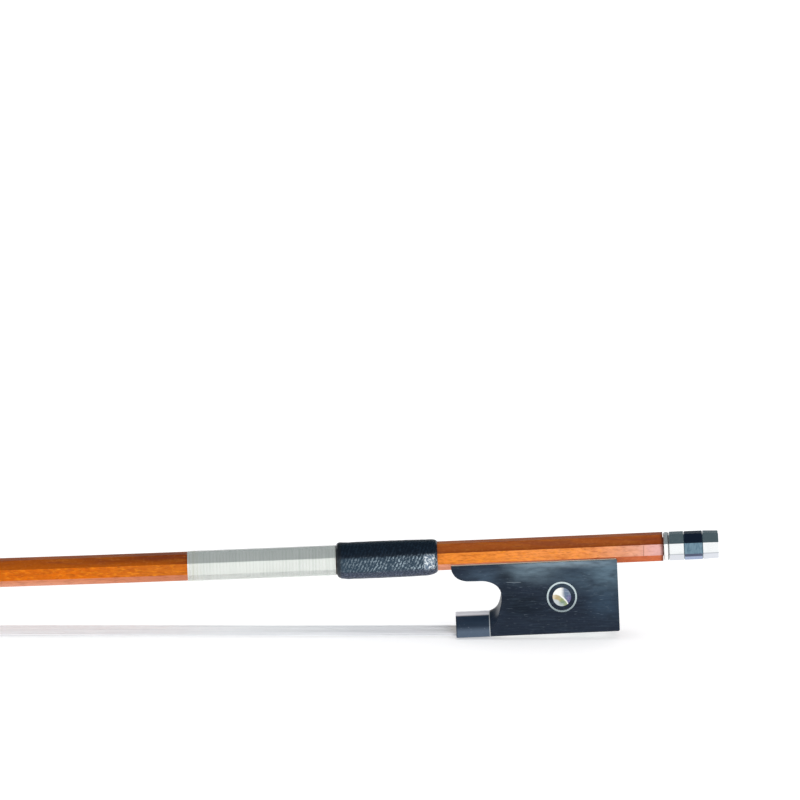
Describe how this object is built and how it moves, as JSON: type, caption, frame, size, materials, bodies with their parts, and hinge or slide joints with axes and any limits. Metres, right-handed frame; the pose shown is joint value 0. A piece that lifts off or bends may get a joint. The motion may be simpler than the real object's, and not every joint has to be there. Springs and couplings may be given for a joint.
{
  "type": "violin bow",
  "caption": "Violin bow with an octagonal wooden stick, ebony frog that slides along it, screw adjuster with a button, wire winding, leather grip and horsehair.",
  "frame": {"origin": "middle of the bow's length and width, on the level that the hair at the head and the front of the ferrule stand on", "axes": "+X along the bow from the head to the button, +Y across it, +Z from the hair up to the stick"},
  "size_m": [0.745, 0.0128, 0.0312],
  "materials": {
    "bow_wood": "polished varnish",
    "ebony": "oiled and polished",
    "nickel_silver": "polished",
    "screw_steel": "bright turned",
    "eyelet_brass": "turned and filed",
    "silver_wire": "drawn wire",
    "black_leather": "dyed and smooth",
    "horsehair": "combed",
    "binding_thread": "waxed",
    "maple": "cut",
    "black_liner": "matt",
    "white_plate": "polished",
    "mother_of_pearl": "polished"
  },
  "bodies": {
    "stick": {"stick": "bow_wood", "tip_liner": "black_liner", "tip_plate": "white_plate", "head_plug": "maple", "head_hair_knot": "horsehair", "head_knot_thread": "binding_thread", "wire_winding": "silver_wire", "thumb_leather": "black_leather", "hair_ribbon": "horsehair"},
    "frog": {"frog_block": "ebony", "underslide": "nickel_silver", "underslide_pin_front": "nickel_silver", "underslide_pin_rear": "nickel_silver", "ferrule": "nickel_silver", "spread_wedge": "maple", "frog_plug": "maple", "frog_hair_knot": "horsehair", "frog_knot_thread": "binding_thread", "slide_backing": "ebony", "pearl_slide": "mother_of_pearl", "eye_ring_left": "nickel_silver", "eye_ring_right": "nickel_silver", "eye_pearl_left": "mother_of_pearl", "eye_pearl_right": "mother_of_pearl", "eyelet": "eyelet_brass"},
    "adjuster": {"adjuster_screw": "screw_steel", "button_collar": "nickel_silver", "button_front_ring": "nickel_silver", "button_core": "ebony", "button_rear_cap": "nickel_silver"}
  },
  "joints": [
    {"name": "frog_slide", "type": "slide", "parent": "stick", "child": "frog", "axis": [0.999, 0, 0.0436], "range_m": [-0.003, 0.005], "deforming": ["hair_ribbon"]},
    {"name": "adjuster_turn", "type": "hinge", "parent": "stick", "child": "adjuster", "pos_m": [0.3559, 0, 0.02653], "axis": [-0.999, 0, -0.0436], "range_deg": [-1801, 3001]}
  ],
  "couplings": [
    {"joint": "adjuster_turn", "follows": "frog_slide", "rad_per_m": 10472}
  ]
}
